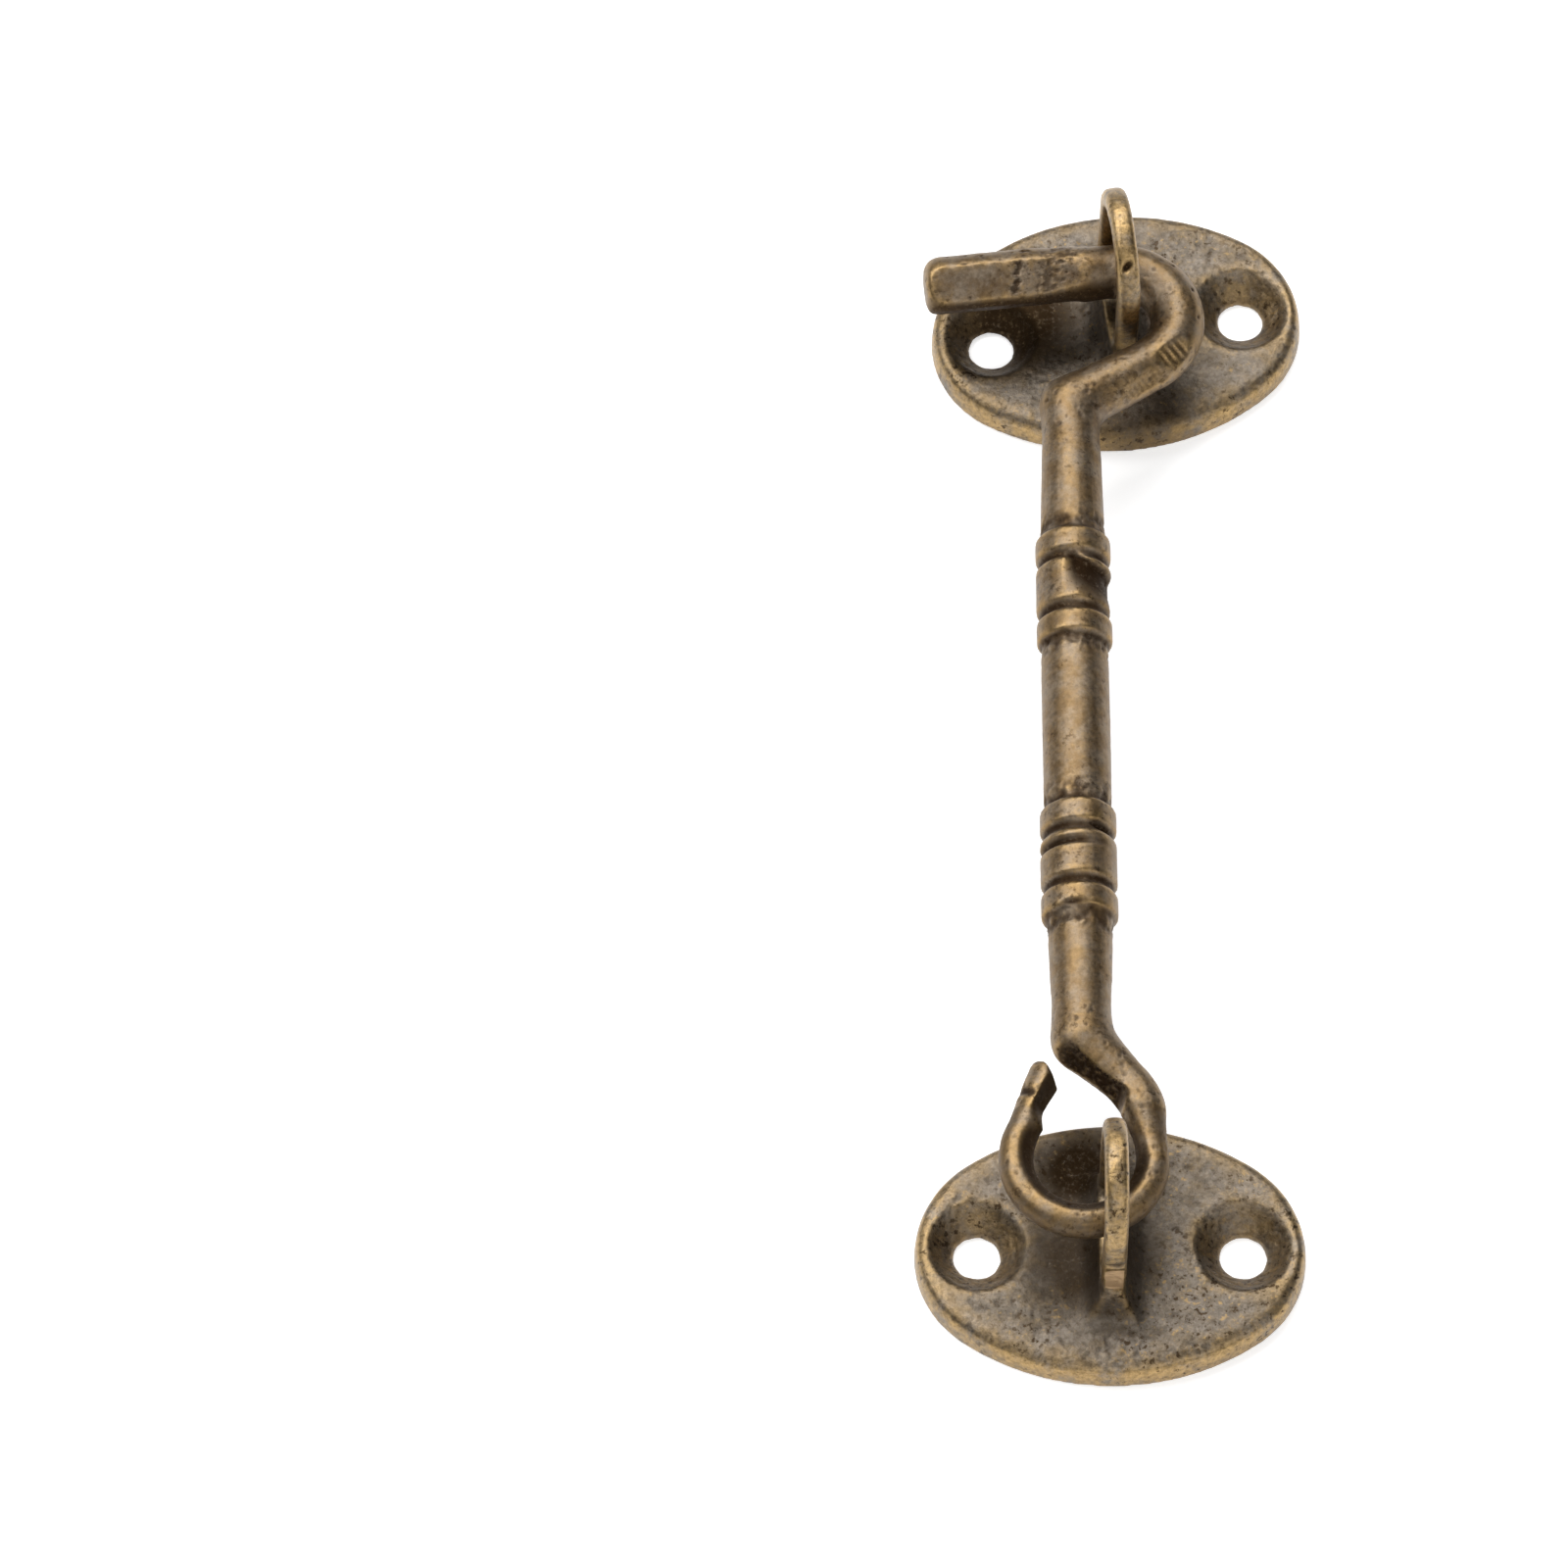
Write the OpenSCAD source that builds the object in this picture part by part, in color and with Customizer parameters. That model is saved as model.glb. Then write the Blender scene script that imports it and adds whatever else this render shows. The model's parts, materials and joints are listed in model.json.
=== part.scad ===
// Cabin hook: a cast hook whose eye hangs in the staple of one oval plate,
// and whose arm drops into the staple of a second oval plate.
// Millimetres. +Z points out of the plates, +Y runs from the hinge plate to the keeper plate,
// and the origin is the middle of the back of the hinge plate.

/* [Plates] */
// Length of each oval plate
plate_length = 37.5; // [34:0.5:46]
// Width of each oval plate
plate_width = 27; // [24:0.2:32]
// Radius of the two round ends of an oval plate
end_radius = 11; // [9:0.1:11.6]
// Thickness of each plate
plate_thickness = 3.2; // [2.4:0.1:5]
// Width of the bevel round the rim of the face
rim_bevel = 1.1; // [0.4:0.1:1.4]

/* [Screw holes] */
// Distance between the two screw holes of a plate
hole_spacing = 25.5; // [22:0.5:27]
// Diameter of a screw hole
hole_diameter = 4.4; // [3:0.1:5]
// Diameter of a countersink at the face
countersink_diameter = 9.6; // [7:0.1:10]
// Depth of the straight hole left below a countersink
hole_land = 0.8; // [0.4:0.1:1.4]

/* [Staples] */
// Height of a staple above the face of its plate
staple_height = 19; // [16:0.5:24]
// Width of a staple over its two legs
staple_span = 13.6; // [13.4:0.2:17]
// Thickness of a staple along the length of its plate
staple_width = 2.5; // [2:0.1:2.8]
// Thickness of a staple from its inside to its outside
staple_thickness = 2.4; // [2:0.1:2.8]
// How far a staple stands off the middle of its plate, on the side away from the shank
staple_offset = 0.2; // [0:0.1:1.5]
// Height of the flared foot of a staple
foot_height = 2.8; // [1.5:0.1:3.4]
// How far the foot flares to each side
foot_side_flare = 2; // [1.2:0.1:3.4]
// How far the foot flares at each end
foot_end_flare = 2; // [0.6:0.1:2.6]

/* [Eye] */
// Inside radius of the eye
eye_inner_radius = 4.8; // [4.6:0.1:6]
// Width of the bar of the eye, seen from above
eye_bar_width = 3.5; // [2.6:0.1:4]
// Height of the bar of the eye
eye_bar_height = 3.6; // [3:0.1:4.2]
// How far the open side of the eye leans in towards the shank, in degrees
nib_lean = 25; // [21:1:28]
// How far the side that runs on into the shank leans in, in degrees
elbow_lean = 9; // [6:1:14]
// Height of the nib that closes the eye, above the eye's centre
nib_height = 9.7; // [8:0.1:10.2]
// Distance from the centre of the eye to the corner where the shank turns into the neck
neck_height = 12.9; // [12.4:0.1:15]
// How far the neck turns aside into the eye, in degrees
neck_turn = 42; // [38:1:48]
// Diameter of the bar where it ends in the nib
nib_diameter = 4.8; // [3.6:0.1:5.2]
// Diameter of the bar where the neck curves down into the eye
elbow_diameter = 4.9; // [4.2:0.1:5.4]
// Radius of that curve, to the middle of the bar
elbow_radius = 7; // [5:0.5:9]
// Slack between the leg of the staple and the wall of the eye
eye_slack = 0.9; // [0.4:0.1:1.2]

/* [Shank] */
// Height of the middle of the hook above the face of the plates
hook_lift = 7.3; // [6.5:0.1:8.5]
// Diameter of the plain necks next to the collars
neck_diameter = 6.5; // [5.8:0.1:7.2]
// Diameter of the shank between the collars
shank_diameter = 6.8; // [6:0.1:7.4]
// Diameter of the turned collars
collar_diameter = 7.6; // [7.4:0.1:8.4]
// Diameter of the bar at the two corners at the ends of the shank
end_diameter = 6.6; // [5.8:0.1:6.8]
// Diameter at the bottom of the turned grooves
groove_diameter = 6.6; // [5.8:0.1:7]
// Length of the flat band in the middle of a collar
band_length = 5; // [3:0.1:6]
// Length of the narrow ring at each end of a collar
ring_length = 2.6; // [1.8:0.1:3]
// Length of each groove
groove_length = 0.9; // [0.6:0.1:1.6]
// Distance from the centre of the eye to the middle of the first collar
collar_from_eye = 31.9; // [28:0.1:38]
// Distance from the middle of the second collar to the centre of the hook's bend
collar_from_bend = 32; // [27:0.1:36]

/* [Hook] */
// Distance from the centre of the eye to the centre of the hook's bend
hook_reach = 94.7; // [86:0.1:160]
// How far the centre of the hook's bend stands to the side of the shank
hook_offset = 4.9; // [4.2:0.1:7]
// Radius of the hook's bend, to the middle of the bar
hook_radius = 6; // [5.8:0.1:7]
// How far the bar turns aside before the hook's bend, in degrees
hook_turn = 59; // [50:1:62]
// Diameter of the bar round the hook's bend
bend_diameter = 5.6; // [4.4:0.1:5.8]
// Length of the straight arm
arm_length = 18.8; // [12:0.1:26]
// Diameter of the arm
arm_diameter = 6.4; // [5.6:0.1:6.6]
// Length over which the bar swells from the bend to the arm
arm_swell = 8; // [5:0.5:10]
// How far the arm leans back towards the eye, in degrees
arm_lean = 6.5; // [3:0.5:7]
// Depth of the two flats filed along the arm
arm_flat = 0.6; // [0.2:0.1:0.9]

/* [Keeper] */
// How far the keeper plate is turned, in degrees
keeper_turn = 7.5; // [0:0.5:9]
// Sideways slack between the keeper's near leg and the centre of the hook's bend
keeper_side_slack = 0.9; // [0:0.1:0.9]
// Lengthways slack between the keeper's near leg and the centre of the hook's bend
keeper_end_slack = 0.7; // [0.5:0.1:0.8]

/* [Hidden] */
$fn = 64;

antique_brass = [0.45, 0.37, 0.23];
dark_brass = [0.36, 0.30, 0.21];

// Cuts run this far past the faces that they open
overshoot = 1;
// The foot of a staple stands this far proud of its leg, and reaches this far into the plate
foot_shoulder = 0.15;
foot_root = 0.6;
// Radius of the hollow of a foot as a share of its slope's length
foot_hollow = 0.8;
// How much of a bar's sharp corner is worn away
staple_corner = 0.28;
eye_corner = 0.62;
// A straight run reaches this far into the bend at its end, and the bend is this much fuller
seat = 0.6;
seat_step = 0.12;

// Oval, with its long sides running on into the round ends
half_length = plate_length / 2;
half_width = plate_width / 2;
side_radius = (half_length * half_length + half_width * half_width - plate_length * end_radius)
    / (plate_width - 2 * end_radius);
oval_lap = 0.6;
oval_join = (half_length - end_radius) * side_radius / (side_radius - end_radius) - oval_lap;

// Staple
leg_radius = (staple_span - staple_thickness) / 2;
arch_height = staple_height - staple_span / 2;

// Hook, measured from the centre of the eye in the plane of the hook
hook_height = plate_thickness + hook_lift;
eye_radius = eye_inner_radius + eye_bar_width / 2;
eye_shift = eye_inner_radius - staple_width / 2 - eye_slack;
eye_centre = [-eye_shift, leg_radius - staple_offset, hook_height];
bend_centre = [hook_offset, hook_reach];
slope_angle = 90 - hook_turn;
slope_end = bend_centre + hook_radius * [sin(slope_angle), -cos(slope_angle)];
neck_corner = [0, neck_height];
throat_corner = [0, slope_end.y - slope_end.x * tan(slope_angle)];
tip_round = 1.4;
// A rounded edge is cut with two slants, and this share of it goes to the steeper one
edge_share = 1 / 3;
end_run_diameter = end_diameter - 2 * seat_step;
run_diameter = bend_diameter - 2 * seat_step;
eye_run_diameter = eye_bar_width - 2 * seat_step;
elbow_run_diameter = elbow_diameter - 2 * seat_step;
// Slant of the nib's end in degrees, and how far its edge stands off the middle of the bar
nib_slope = 23;
nib_edge = 0.8;

// Collars
collar_length = band_length + 2 * ring_length + 4 * groove_length;
first_collar = collar_from_eye;
second_collar = hook_reach - collar_from_bend;
band_edge = 0.25;
shoulder_length = 4;

// Keeper, seated with its near leg in the hook's bend
near_leg = [eye_centre.x, eye_centre.y] + bend_centre + [keeper_side_slack, -keeper_end_slack];
leg_to_plate = leg_radius - staple_offset;
keeper_centre = near_leg + leg_to_plate * [-sin(keeper_turn), cos(keeper_turn)];

// Point where a line from p at heading a meets a line from q at heading b
function meet(p, a, q, b) =
    p + [cos(a), sin(a)] * ((q.x - p.x) * sin(b) - (q.y - p.y) * cos(b)) / sin(b - a);

// Centre of the arc that hollows a slope going out by flare and up by height
function hollow_centre(flare, height, radius) =
    [flare, height] / 2
    + sqrt(radius * radius - (flare * flare + height * height) / 4)
    * [height, flare] / norm([flare, height]);

// Bar section with its four corners worn round
module bar_section(across, along, corner) {
    intersection() {
        square([across, along], center = true);
        circle(r = norm([across, along]) / 2 - corner);
    }
}

// Round bar from the bend at a point in the plane of the hook along a heading
module round_run(from, heading, length, start_d, end_d) {
    translate([from.x, from.y, 0])
        rotate([0, 0, heading])
            rotate([0, 90, 0])
                translate([0, 0, -seat])
                    cylinder(h = length + seat, d1 = start_d, d2 = end_d);
}

// Round bar bent about a centre in the plane of the hook
module round_bend(centre, radius, start, sweep, d) {
    translate([centre.x, centre.y, 0])
        rotate([0, 0, start])
            rotate_extrude(angle = sweep)
                translate([radius, 0])
                    circle(d = d);
}

module screw_hole() {
    sink_height = plate_thickness - hole_land;
    widening = (countersink_diameter - hole_diameter) / sink_height;
    translate([0, 0, -overshoot])
        cylinder(h = plate_thickness + overshoot, d = hole_diameter);
    translate([0, 0, hole_land])
        cylinder(
            h = sink_height + overshoot,
            d1 = hole_diameter,
            d2 = countersink_diameter + widening * overshoot
        );
}

// Disc of the plate's thickness with the bevelled rim
module rim_disc(radius) {
    rotate_extrude()
        polygon([
            [0, 0],
            [radius, 0],
            [radius, plate_thickness - rim_bevel],
            [radius - rim_bevel * edge_share, plate_thickness - rim_bevel * edge_share],
            [radius - rim_bevel, plate_thickness],
            [0, plate_thickness]
        ]);
}

// Oval plate of four arcs: two flat sides where large discs overlap, and two round ends
module oval_plate() {
    difference() {
        union() {
            intersection() {
                translate([0, half_width - side_radius, 0])
                    rim_disc(side_radius);
                translate([0, side_radius - half_width, 0])
                    rim_disc(side_radius);
                translate([-oval_join, -plate_width, -overshoot])
                    cube([2 * oval_join, 2 * plate_width, plate_thickness + 2 * overshoot]);
            }
            for (side = [-1, 1])
                translate([side * (half_length - end_radius), 0, 0])
                    rim_disc(end_radius);
        }
        for (side = [-1, 1])
            translate([side * hole_spacing / 2, 0, 0])
                screw_hole();
    }
}

// Flared profile: a wall of the given width whose two sides sweep out at the bottom
module flare_profile(width, flare) {
    slope = norm([flare, foot_height]);
    centre = hollow_centre(flare, foot_height, foot_hollow * slope);
    difference() {
        translate([-width / 2 - flare, -foot_root])
            square([width + 2 * flare, foot_height + foot_root]);
        for (side = [-1, 1])
            translate([side * (width / 2 + centre.x), centre.y])
                circle(r = foot_hollow * slope);
    }
}

module staple_foot() {
    side_width = staple_width + 2 * foot_shoulder;
    end_width = staple_span + 2 * foot_shoulder;
    intersection() {
        rotate([90, 0, 0])
            linear_extrude(height = end_width + 2 * foot_end_flare, center = true)
                flare_profile(side_width, foot_side_flare);
        rotate([90, 0, 90])
            linear_extrude(height = side_width + 2 * foot_side_flare, center = true)
                flare_profile(end_width, foot_end_flare);
    }
}

// Staple with its two legs on the Y axis, standing on the face of a plate
module staple() {
    for (side = [-1, 1])
        translate([0, side * leg_radius, 0])
            linear_extrude(height = arch_height)
                bar_section(staple_width, staple_thickness, staple_corner);
    translate([0, 0, arch_height])
        rotate([90, 0, 90])
            rotate_extrude(angle = 180)
                translate([leg_radius, 0])
                    bar_section(staple_thickness, staple_width, staple_corner);
    staple_foot();
}

// One casting: an oval plate with its staple, the shank lying on the side given by toward
module plate_casting(toward) {
    oval_plate();
    translate([0, -toward * staple_offset, plate_thickness])
        staple();
}

// Half outline of the shank, radius across and length along
module shank_outline() {
    neck = neck_diameter / 2;
    corner_radius = end_run_diameter / 2;
    polygon([
        [0, neck_height - seat],
        [corner_radius, neck_height - seat],
        [corner_radius, neck_height],
        [neck - band_edge, neck_height + shoulder_length],
        [neck, first_collar - collar_length / 2],
        [shank_diameter / 2, first_collar + collar_length / 2],
        [shank_diameter / 2, second_collar - collar_length / 2],
        [neck, second_collar + collar_length / 2],
        [neck - band_edge, throat_corner.y - shoulder_length],
        [corner_radius, throat_corner.y],
        [corner_radius, throat_corner.y + seat],
        [0, throat_corner.y + seat]
    ]);
}

// Outline of one flat ring of a collar, with its edges broken
module ring_outline(place, length) {
    radius = collar_diameter / 2;
    translate([0, place])
        polygon([
            [0, -length / 2],
            [radius - band_edge, -length / 2],
            [radius, -length / 2 + band_edge],
            [radius, length / 2 - band_edge],
            [radius - band_edge, length / 2],
            [0, length / 2]
        ]);
}

// Outline of one collar: a band between two narrow rings, parted by turned grooves
module collar_outline() {
    ring_place = (band_length + ring_length) / 2 + groove_length;
    translate([0, -collar_length / 2])
        square([groove_diameter / 2, collar_length]);
    ring_outline(0, band_length);
    for (side = [-1, 1])
        ring_outline(side * ring_place, ring_length);
}

// Turned shank along Y, with its two collars
module shank() {
    rotate([-90, 0, 0])
        rotate_extrude() {
            difference() {
                shank_outline();
                for (place = [first_collar, second_collar])
                    translate([0, place - collar_length / 2])
                        square([collar_diameter, collar_length]);
            }
            for (place = [first_collar, second_collar])
                translate([0, place])
                    collar_outline();
        }
}

// Ball at a corner where the bar turns sharply, with its poles inside the two bars
module bar_corner(place) {
    translate([place.x, place.y, 0])
        rotate([-90, 0, 0])
            sphere(d = end_diameter);
}

// Neck that turns aside from the shank and curves down to the given side of the eye
module neck(right_side) {
    heading = neck_turn - 90;
    elbow = meet(neck_corner, heading, right_side, elbow_lean - 90);
    tangent = elbow_radius * tan((neck_turn - elbow_lean) / 2);
    elbow_start = elbow - tangent * [cos(heading), sin(heading)];
    elbow_centre = elbow_start + elbow_radius * [sin(heading), -cos(heading)];
    side_run = norm(elbow - right_side) - tangent + seat;
    neck_run = norm(elbow_start - neck_corner) + seat;
    bar_corner(neck_corner);
    round_run(neck_corner, heading, neck_run, end_run_diameter, elbow_run_diameter);
    round_bend(elbow_centre, elbow_radius, elbow_lean, neck_turn - elbow_lean, elbow_diameter);
    round_run(right_side, 90 + elbow_lean, side_run, eye_run_diameter, elbow_run_diameter);
}

// Eye curled from the end of the neck, open beside the nib
module eye() {
    right_side = eye_radius * [cos(elbow_lean), sin(elbow_lean)];
    left_side = eye_radius * [-cos(nib_lean), sin(nib_lean)];
    nib_run = (nib_height - left_side.y) / cos(nib_lean);
    neck(right_side);
    rotate([0, 0, 180 - nib_lean])
        rotate_extrude(angle = 180 + nib_lean + elbow_lean)
            translate([eye_radius, 0])
                bar_section(eye_bar_width, eye_bar_height, eye_corner);
    difference() {
        round_run(left_side, 90 - nib_lean, nib_run, eye_run_diameter, nib_diameter);
        nib_cut(left_side, nib_run);
    }
}

// Slanting cut that leaves the nib as a wedge on the outside of the eye
module nib_cut(left_side, nib_run) {
    tip = left_side + nib_run * [sin(nib_lean), cos(nib_lean)]
        - nib_edge * [cos(nib_lean), -sin(nib_lean)];
    translate([tip.x, tip.y, -nib_diameter])
        rotate([0, 0, nib_slope])
            translate([0, -2 * nib_run, 0])
                cube([2 * nib_diameter, 3 * nib_run, 2 * nib_diameter]);
}

// Hook bent from the other end of the shank, with its arm
module hook_end() {
    arm_heading = 180 + arm_lean;
    arm_start = bend_centre + hook_radius * [-sin(arm_lean), cos(arm_lean)];
    slope_length = norm(slope_end - throat_corner) + seat;
    bar_corner(throat_corner);
    round_run(throat_corner, slope_angle, slope_length, end_run_diameter, run_diameter);
    round_bend(bend_centre, hook_radius, slope_angle - 90, 90 + hook_turn + arm_lean, bend_diameter);
    translate([arm_start.x, arm_start.y, 0])
        rotate([0, 0, arm_heading])
            difference() {
                rotate([0, 90, 0])
                    arm_bar();
                arm_file_cut();
            }
}

// Straight arm standing on its root, with its tip rounded off
module arm_bar() {
    radius = arm_diameter / 2;
    rotate_extrude()
        polygon([
            [0, -seat],
            [run_diameter / 2, -seat],
            [radius, arm_swell],
            [radius, arm_length - tip_round],
            [radius - tip_round * edge_share, arm_length - tip_round * edge_share],
            [radius - tip_round, arm_length],
            [0, arm_length]
        ]);
}

// Two flats along the arm, on its upper front and its lower front, that meet in a sharp edge
module arm_file_cut() {
    upper_tilt = 62;
    for (tilt = [upper_tilt, upper_tilt - 90])
        rotate([tilt, 0, 0])
            translate([arm_diameter / 2, arm_diameter / 2 - arm_flat, -arm_diameter])
                cube([arm_length + arm_diameter, arm_diameter, 2 * arm_diameter]);
}

module hinge_plate() {
    color(dark_brass)
        plate_casting(1);
}

module hook() {
    color(antique_brass)
        translate(eye_centre) {
            shank();
            eye();
            hook_end();
        }
}

module keeper_plate() {
    color(dark_brass)
        translate([keeper_centre.x, keeper_centre.y, 0])
            rotate([0, 0, keeper_turn])
                plate_casting(-1);
}

hinge_plate();
hook();
keeper_plate();
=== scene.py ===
# %% [markdown]
# # A cast cabin hook in aged brass
# The latch is three castings: two oval plates, each with a staple standing on it, and a hook whose
# eye hangs in one staple and whose arm drops into the other. The solids come from the frame, so every
# size and place is fixed already. What is left to do here is what a foundry, a file and years of
# handling do to such a piece: soft edges, pits, gouges, dark hollows and rubbed ridges.

# %% Load the frame
import json
import math

import bmesh
import bpy
import numpy as np
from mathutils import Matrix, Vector, noise


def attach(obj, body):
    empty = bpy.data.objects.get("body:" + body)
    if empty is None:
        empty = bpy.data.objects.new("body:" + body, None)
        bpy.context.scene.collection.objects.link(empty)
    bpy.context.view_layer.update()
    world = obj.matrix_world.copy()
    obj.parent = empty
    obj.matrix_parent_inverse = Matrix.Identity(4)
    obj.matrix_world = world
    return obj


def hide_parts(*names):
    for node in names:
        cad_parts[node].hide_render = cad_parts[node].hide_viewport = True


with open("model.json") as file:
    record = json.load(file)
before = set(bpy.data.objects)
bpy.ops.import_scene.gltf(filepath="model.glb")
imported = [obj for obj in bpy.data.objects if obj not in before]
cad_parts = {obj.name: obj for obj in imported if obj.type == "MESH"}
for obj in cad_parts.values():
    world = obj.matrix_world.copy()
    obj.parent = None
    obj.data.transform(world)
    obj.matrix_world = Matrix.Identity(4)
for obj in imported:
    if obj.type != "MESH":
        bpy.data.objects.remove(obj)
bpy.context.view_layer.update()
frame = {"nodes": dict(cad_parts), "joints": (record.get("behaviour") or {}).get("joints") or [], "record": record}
print("nodes:", sorted(frame["nodes"]))

# %% [markdown]
# ## Camera
# The latch is seen from above its near end, sixty degrees over the table, through a long lens.
# A camera can be aimed with a constraint or by its rotation. The rotation alone is enough here:
# a camera looks straight down when it isn't turned, so one tilt about X brings it to the near side.

# %% Camera
MM = 0.001
view_elevation = math.radians(60)
view_distance = 900 * MM
aim = Vector((-31.18, 52.68, 0)) * MM
frame_width = 154.6 * MM

camera_data = bpy.data.cameras.new("camera")
camera = bpy.data.objects.new("camera", camera_data)
bpy.context.scene.collection.objects.link(camera)
camera_data.lens = camera_data.sensor_width * view_distance / frame_width
camera.location = aim + view_distance * Vector((0, -math.cos(view_elevation), math.sin(view_elevation)))
camera.rotation_euler = (math.pi / 2 - view_elevation, 0, 0)
bpy.context.scene.camera = camera
print("lens", round(camera_data.lens, 1), "mm")

# %% [markdown]
# ## From a crisp solid to a casting
# A solid from CAD has long thin triangles and knife edges, which can't be dented. A copy of it is
# merged, then rebuilt on an even grid of small squares with a voxel remesh. After that the mesh is
# like clay: it can be smoothed, pressed and filed with simple moves of its points. Bevels on the
# crisp edges would also round them, but they stop where curved bars run into each other.

# %% Even copies of the solids
grid = 0.21 * MM


def cast_copy(node):
    """A closed copy of a node's solid on an even grid, as a new object."""
    bm = bmesh.new()
    bm.from_mesh(frame["nodes"][node].data)
    bmesh.ops.remove_doubles(bm, verts=bm.verts, dist=0.001 * MM)
    mesh = bpy.data.meshes.new(node + "_crisp")
    bm.to_mesh(mesh)
    bm.free()
    piece = bpy.data.objects.new(node + "_casting", mesh)
    bpy.context.scene.collection.objects.link(piece)
    remesh = piece.modifiers.new("even grid", "REMESH")
    remesh.mode = "VOXEL"
    remesh.voxel_size = grid
    depsgraph = bpy.context.evaluated_depsgraph_get()
    even = bpy.data.meshes.new_from_object(piece.evaluated_get(depsgraph))
    piece.modifiers.clear()
    piece.data = even
    even.name = node + "_casting"
    print(node, "has", len(even.polygons), "faces on the grid")
    return piece


hinge_casting = cast_copy("hinge_plate")
hook_casting = cast_copy("hook")
keeper_casting = cast_copy("keeper_plate")

# %% [markdown]
# ## Tools for wearing metal
# Four small tools do most of the shaping. `soften` rounds edges, as tumbling does. `dent` presses a long
# hollow. `file_flat` takes metal off down to a plane. `ripple` gives the slow unevenness of a sand
# mould. They take metal away, apart from inner corners, which `soften` fills a little, so a piece never
# grows out of the box of its solid.

# %% Shaping tools
def points_of(piece):
    """The piece's points in millimetres, one row each."""
    flat = np.empty(len(piece.data.vertices) * 3, dtype=np.float32)
    piece.data.vertices.foreach_get("co", flat)
    return flat.reshape(-1, 3).astype(float) / MM


def put_points(piece, points):
    """Moves the piece's points to the given places in millimetres."""
    piece.data.vertices.foreach_set("co", (points * MM).astype(np.float32).ravel())
    piece.data.update()


def normals_of(piece):
    """The outward direction at each point."""
    flat = np.empty(len(piece.data.vertices) * 3, dtype=np.float32)
    piece.data.vertex_normals.foreach_get("vector", flat)
    return flat.reshape(-1, 3).astype(float)


def soften(piece, rounds, where=None):
    """Rounds edges by averaging each point with its neighbours, on all points or where a mask says."""
    bm = bmesh.new()
    bm.from_mesh(piece.data)
    bm.verts.ensure_lookup_table()
    chosen = bm.verts[:] if where is None else [bm.verts[i] for i in np.flatnonzero(where)]
    for _ in range(rounds):
        bmesh.ops.smooth_vert(
            bm, verts=chosen, factor=0.5, use_axis_x=True, use_axis_y=True, use_axis_z=True)
    bm.to_mesh(piece.data)
    bm.free()


def unit(direction):
    """The direction with length one."""
    direction = np.array(direction, dtype=float)
    return direction / np.linalg.norm(direction)


def dent(points, centre, along, inward, length, width, depth):
    """Presses a long hollow into the points, and gives how deep it is at each, from 0 to 1."""
    along, inward = unit(along), unit(inward)
    across = np.cross(along, inward)
    away = points - np.array(centre)
    share = (away @ along / length) ** 2 + (away @ across / width) ** 2 + (away @ inward) ** 2
    press = np.clip(1 - share, 0, 1) ** 1.5
    points += np.outer(press * depth, inward)
    return press


def file_flat(points, centre, outward, reach, where=True):
    """Takes metal off down to a plane within its reach, where a mask says, and gives where it did."""
    outward = unit(outward)
    away = points - np.array(centre)
    proud = np.clip(away @ outward, 0, None)
    near = np.clip(3 * (1 - np.linalg.norm(away, axis=1) / reach), 0, 1) * where
    points -= np.outer(proud * near, outward)
    return (proud > 0.02) * near


def ripple(points, size, octaves=3):
    """Slow unevenness between 0 and 1 over the points, with waves of about the given size."""
    values = [noise.fractal(Vector(p) / size, 1.0, 2.0, octaves) for p in points]
    return np.clip(0.5 + 0.5 * np.array(values), 0, 1)


print("grid of", round(grid / MM, 2), "mm")

# %% [markdown]
# ## Relief, for the finish
# Aged brass is dark in its hollows and bright on its ridges. A shader can guess at ridges from the
# mesh's own angles, but only at the size of its faces. Here each point is compared with the average
# of its surroundings: a ridge stands above that average, and a hollow lies below it. The result is
# kept on the mesh as two attributes, one for rubbed ridges and one for tarnish together with painted
# shade, which the materials read.

# %% Relief tools
def edges_of(piece):
    """Both point numbers of every edge."""
    ends = np.empty(len(piece.data.edges) * 2, dtype=np.int32)
    piece.data.edges.foreach_get("vertices", ends)
    return ends.reshape(-1, 2)


def averaged(values, edges, rounds):
    """Values averaged with their neighbours along the edges, again and again."""
    count = len(values)
    share = np.bincount(edges.ravel(), minlength=count)
    for _ in range(rounds):
        total = np.empty_like(values)
        for column in range(values.shape[1]):
            total[:, column] = (
                np.bincount(edges[:, 0], values[edges[:, 1], column], count)
                + np.bincount(edges[:, 1], values[edges[:, 0], column], count))
        values = 0.5 * values + 0.5 * total / share[:, None]
    return values


def relief(piece, near, far):
    """How far each spot stands above its surroundings, in millimetres, without the finest grain."""
    edges = edges_of(piece)
    spot = averaged(points_of(piece), edges, near)
    around = averaged(spot, edges, far)
    return np.einsum("ij,ij->i", spot - around, normals_of(piece))


def keep_attribute(piece, name, values):
    """Stores one number from 0 to 1 for each point, under a name that materials can read."""
    attribute = piece.data.attributes.new(name, "FLOAT", "POINT")
    attribute.data.foreach_set("value", np.clip(values, 0, 1).astype(np.float32))
    print(piece.name, name, "mean", round(float(np.clip(values, 0, 1).mean()), 3))
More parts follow.
